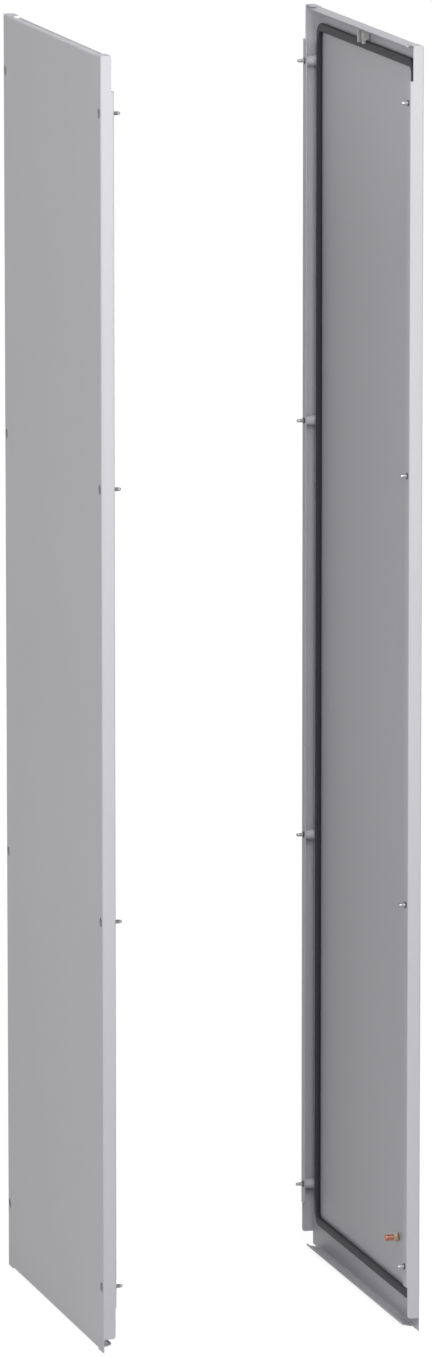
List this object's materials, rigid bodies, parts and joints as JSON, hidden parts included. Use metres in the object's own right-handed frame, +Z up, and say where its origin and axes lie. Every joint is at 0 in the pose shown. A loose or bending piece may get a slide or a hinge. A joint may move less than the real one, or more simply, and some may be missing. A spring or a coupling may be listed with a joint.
{
  "type": "pair of switchboard cabinet side panels",
  "caption": "Pair of folded sheet-metal side panels for a floor-standing switchboard cabinet, with captive screws, seals, hook brackets and earth studs.",
  "frame": {"origin": "middle of the two panels in width and depth, at the height of their lower edges", "axes": "+X from the left panel to the right one, +Y from the front edge to the rear, +Z up"},
  "size_m": [0.504, 0.585, 1.99],
  "materials": {
    "powder_coated_sheet": "light grey fine-textured powder coat",
    "cup_sheet": "light grey powder coat",
    "zinc_screw": "bright zinc plating",
    "ring_nylon": "dark moulded nylon",
    "seal_foam": "matt black soft seal",
    "bracket_steel": "grey powder coat",
    "copper_plating": "copper plating",
    "copper_plating_nut": "copper plating"
  },
  "bodies": {
    "left_ring_1": {"left_screw_ring_1": "ring_nylon"},
    "left_screw_1": {"left_screw_1": "zinc_screw"},
    "left_ring_2": {"left_screw_ring_2": "ring_nylon"},
    "left_screw_2": {"left_screw_2": "zinc_screw"},
    "left_ring_3": {"left_screw_ring_3": "ring_nylon"},
    "left_screw_3": {"left_screw_3": "zinc_screw"},
    "left_ring_4": {"left_screw_ring_4": "ring_nylon"},
    "left_screw_4": {"left_screw_4": "zinc_screw"},
    "left_ring_5": {"left_screw_ring_5": "ring_nylon"},
    "left_screw_5": {"left_screw_5": "zinc_screw"},
    "left_ring_6": {"left_screw_ring_6": "ring_nylon"},
    "left_screw_6": {"left_screw_6": "zinc_screw"},
    "left_ring_7": {"left_screw_ring_7": "ring_nylon"},
    "left_screw_7": {"left_screw_7": "zinc_screw"},
    "left_ring_8": {"left_screw_ring_8": "ring_nylon"},
    "left_screw_8": {"left_screw_8": "zinc_screw"},
    "left_panel": {"left_panel_sheet": "powder_coated_sheet", "left_screw_cup_1": "cup_sheet", "left_screw_cup_2": "cup_sheet", "left_screw_cup_3": "cup_sheet", "left_screw_cup_4": "cup_sheet", "left_screw_cup_5": "cup_sheet", "left_screw_cup_6": "cup_sheet", "left_screw_cup_7": "cup_sheet", "left_screw_cup_8": "cup_sheet", "left_seal": "seal_foam", "left_hook_bracket": "bracket_steel", "left_earth_stud": "copper_plating", "left_earth_nut": "copper_plating_nut"},
    "right_ring_1": {"right_screw_ring_1": "ring_nylon"},
    "right_screw_1": {"right_screw_1": "zinc_screw"},
    "right_ring_2": {"right_screw_ring_2": "ring_nylon"},
    "right_screw_2": {"right_screw_2": "zinc_screw"},
    "right_ring_3": {"right_screw_ring_3": "ring_nylon"},
    "right_screw_3": {"right_screw_3": "zinc_screw"},
    "right_ring_4": {"right_screw_ring_4": "ring_nylon"},
    "right_screw_4": {"right_screw_4": "zinc_screw"},
    "right_ring_5": {"right_screw_ring_5": "ring_nylon"},
    "right_screw_5": {"right_screw_5": "zinc_screw"},
    "right_ring_6": {"right_screw_ring_6": "ring_nylon"},
    "right_screw_6": {"right_screw_6": "zinc_screw"},
    "right_ring_7": {"right_screw_ring_7": "ring_nylon"},
    "right_screw_7": {"right_screw_7": "zinc_screw"},
    "right_ring_8": {"right_screw_ring_8": "ring_nylon"},
    "right_screw_8": {"right_screw_8": "zinc_screw"},
    "right_panel": {"right_panel_sheet": "powder_coated_sheet", "right_screw_cup_1": "cup_sheet", "right_screw_cup_2": "cup_sheet", "right_screw_cup_3": "cup_sheet", "right_screw_cup_4": "cup_sheet", "right_screw_cup_5": "cup_sheet", "right_screw_cup_6": "cup_sheet", "right_screw_cup_7": "cup_sheet", "right_screw_cup_8": "cup_sheet", "right_seal": "seal_foam", "right_hook_bracket": "bracket_steel", "right_earth_stud": "copper_plating", "right_earth_nut": "copper_plating_nut"}
  },
  "joints": [
    {"name": "left_screw_travel_1", "type": "slide", "parent": "left_panel", "child": "left_ring_1", "axis": [1, 0, 0], "range_m": [0, 0.008]},
    {"name": "left_screw_turn_1", "type": "hinge", "parent": "left_ring_1", "child": "left_screw_1", "pos_m": [-0.2468, -0.2815, 0.1015], "axis": [1, 0, 0], "range_deg": [0, 2880]},
    {"name": "left_screw_travel_2", "type": "slide", "parent": "left_panel", "child": "left_ring_2", "axis": [1, 0, 0], "range_m": [0, 0.008]},
    {"name": "left_screw_turn_2", "type": "hinge", "parent": "left_ring_2", "child": "left_screw_2", "pos_m": [-0.2468, -0.2815, 0.67], "axis": [1, 0, 0], "range_deg": [0, 2880]},
    {"name": "left_screw_travel_3", "type": "slide", "parent": "left_panel", "child": "left_ring_3", "axis": [1, 0, 0], "range_m": [0, 0.008]},
    {"name": "left_screw_turn_3", "type": "hinge", "parent": "left_ring_3", "child": "left_screw_3", "pos_m": [-0.2468, -0.2815, 1.334], "axis": [1, 0, 0], "range_deg": [0, 2880]},
    {"name": "left_screw_travel_4", "type": "slide", "parent": "left_panel", "child": "left_ring_4", "axis": [1, 0, 0], "range_m": [0, 0.008]},
    {"name": "left_screw_turn_4", "type": "hinge", "parent": "left_ring_4", "child": "left_screw_4", "pos_m": [-0.2468, -0.2815, 1.9025], "axis": [1, 0, 0], "range_deg": [0, 2880]},
    {"name": "left_screw_travel_5", "type": "slide", "parent": "left_panel", "child": "left_ring_5", "axis": [1, 0, 0], "range_m": [0, 0.008]},
    {"name": "left_screw_turn_5", "type": "hinge", "parent": "left_ring_5", "child": "left_screw_5", "pos_m": [-0.2468, 0.2815, 0.1015], "axis": [1, 0, 0], "range_deg": [0, 2880]},
    {"name": "left_screw_travel_6", "type": "slide", "parent": "left_panel", "child": "left_ring_6", "axis": [1, 0, 0], "range_m": [0, 0.008]},
    {"name": "left_screw_turn_6", "type": "hinge", "parent": "left_ring_6", "child": "left_screw_6", "pos_m": [-0.2468, 0.2815, 0.67], "axis": [1, 0, 0], "range_deg": [0, 2880]},
    {"name": "left_screw_travel_7", "type": "slide", "parent": "left_panel", "child": "left_ring_7", "axis": [1, 0, 0], "range_m": [0, 0.008]},
    {"name": "left_screw_turn_7", "type": "hinge", "parent": "left_ring_7", "child": "left_screw_7", "pos_m": [-0.2468, 0.2815, 1.334], "axis": [1, 0, 0], "range_deg": [0, 2880]},
    {"name": "left_screw_travel_8", "type": "slide", "parent": "left_panel", "child": "left_ring_8", "axis": [1, 0, 0], "range_m": [0, 0.008]},
    {"name": "left_screw_turn_8", "type": "hinge", "parent": "left_ring_8", "child": "left_screw_8", "pos_m": [-0.2468, 0.2815, 1.9025], "axis": [1, 0, 0], "range_deg": [0, 2880]},
    {"name": "right_screw_travel_1", "type": "slide", "parent": "right_panel", "child": "right_ring_1", "axis": [-1, 0, 0], "range_m": [0, 0.008]},
    {"name": "right_screw_turn_1", "type": "hinge", "parent": "right_ring_1", "child": "right_screw_1", "pos_m": [0.2468, -0.2815, 0.1015], "axis": [-1, 0, 0], "range_deg": [0, 2880]},
    {"name": "right_screw_travel_2", "type": "slide", "parent": "right_panel", "child": "right_ring_2", "axis": [-1, 0, 0], "range_m": [0, 0.008]},
    {"name": "right_screw_turn_2", "type": "hinge", "parent": "right_ring_2", "child": "right_screw_2", "pos_m": [0.2468, -0.2815, 0.67], "axis": [-1, 0, 0], "range_deg": [0, 2880]},
    {"name": "right_screw_travel_3", "type": "slide", "parent": "right_panel", "child": "right_ring_3", "axis": [-1, 0, 0], "range_m": [0, 0.008]},
    {"name": "right_screw_turn_3", "type": "hinge", "parent": "right_ring_3", "child": "right_screw_3", "pos_m": [0.2468, -0.2815, 1.334], "axis": [-1, 0, 0], "range_deg": [0, 2880]},
    {"name": "right_screw_travel_4", "type": "slide", "parent": "right_panel", "child": "right_ring_4", "axis": [-1, 0, 0], "range_m": [0, 0.008]},
    {"name": "right_screw_turn_4", "type": "hinge", "parent": "right_ring_4", "child": "right_screw_4", "pos_m": [0.2468, -0.2815, 1.9025], "axis": [-1, 0, 0], "range_deg": [0, 2880]},
    {"name": "right_screw_travel_5", "type": "slide", "parent": "right_panel", "child": "right_ring_5", "axis": [-1, 0, 0], "range_m": [0, 0.008]},
    {"name": "right_screw_turn_5", "type": "hinge", "parent": "right_ring_5", "child": "right_screw_5", "pos_m": [0.2468, 0.2815, 0.1015], "axis": [-1, 0, 0], "range_deg": [0, 2880]},
    {"name": "right_screw_travel_6", "type": "slide", "parent": "right_panel", "child": "right_ring_6", "axis": [-1, 0, 0], "range_m": [0, 0.008]},
    {"name": "right_screw_turn_6", "type": "hinge", "parent": "right_ring_6", "child": "right_screw_6", "pos_m": [0.2468, 0.2815, 0.67], "axis": [-1, 0, 0], "range_deg": [0, 2880]},
    {"name": "right_screw_travel_7", "type": "slide", "parent": "right_panel", "child": "right_ring_7", "axis": [-1, 0, 0], "range_m": [0, 0.008]},
    {"name": "right_screw_turn_7", "type": "hinge", "parent": "right_ring_7", "child": "right_screw_7", "pos_m": [0.2468, 0.2815, 1.334], "axis": [-1, 0, 0], "range_deg": [0, 2880]},
    {"name": "right_screw_travel_8", "type": "slide", "parent": "right_panel", "child": "right_ring_8", "axis": [-1, 0, 0], "range_m": [0, 0.008]},
    {"name": "right_screw_turn_8", "type": "hinge", "parent": "right_ring_8", "child": "right_screw_8", "pos_m": [0.2468, 0.2815, 1.9025], "axis": [-1, 0, 0], "range_deg": [0, 2880]},
    {"name": "right_panel_pull", "type": "slide", "parent": "left_panel", "child": "right_panel", "axis": [1, 0, 0], "range_m": [0, 0.3]}
  ],
  "couplings": [
    {"joint": "left_screw_travel_1", "follows": "left_screw_turn_1", "m_per_rad": 0.00015915},
    {"joint": "left_screw_travel_2", "follows": "left_screw_turn_2", "m_per_rad": 0.00015915},
    {"joint": "left_screw_travel_3", "follows": "left_screw_turn_3", "m_per_rad": 0.00015915},
    {"joint": "left_screw_travel_4", "follows": "left_screw_turn_4", "m_per_rad": 0.00015915},
    {"joint": "left_screw_travel_5", "follows": "left_screw_turn_5", "m_per_rad": 0.00015915},
    {"joint": "left_screw_travel_6", "follows": "left_screw_turn_6", "m_per_rad": 0.00015915},
    {"joint": "left_screw_travel_7", "follows": "left_screw_turn_7", "m_per_rad": 0.00015915},
    {"joint": "left_screw_travel_8", "follows": "left_screw_turn_8", "m_per_rad": 0.00015915},
    {"joint": "right_screw_travel_1", "follows": "right_screw_turn_1", "m_per_rad": 0.00015915},
    {"joint": "right_screw_travel_2", "follows": "right_screw_turn_2", "m_per_rad": 0.00015915},
    {"joint": "right_screw_travel_3", "follows": "right_screw_turn_3", "m_per_rad": 0.00015915},
    {"joint": "right_screw_travel_4", "follows": "right_screw_turn_4", "m_per_rad": 0.00015915},
    {"joint": "right_screw_travel_5", "follows": "right_screw_turn_5", "m_per_rad": 0.00015915},
    {"joint": "right_screw_travel_6", "follows": "right_screw_turn_6", "m_per_rad": 0.00015915},
    {"joint": "right_screw_travel_7", "follows": "right_screw_turn_7", "m_per_rad": 0.00015915},
    {"joint": "right_screw_travel_8", "follows": "right_screw_turn_8", "m_per_rad": 0.00015915}
  ]
}
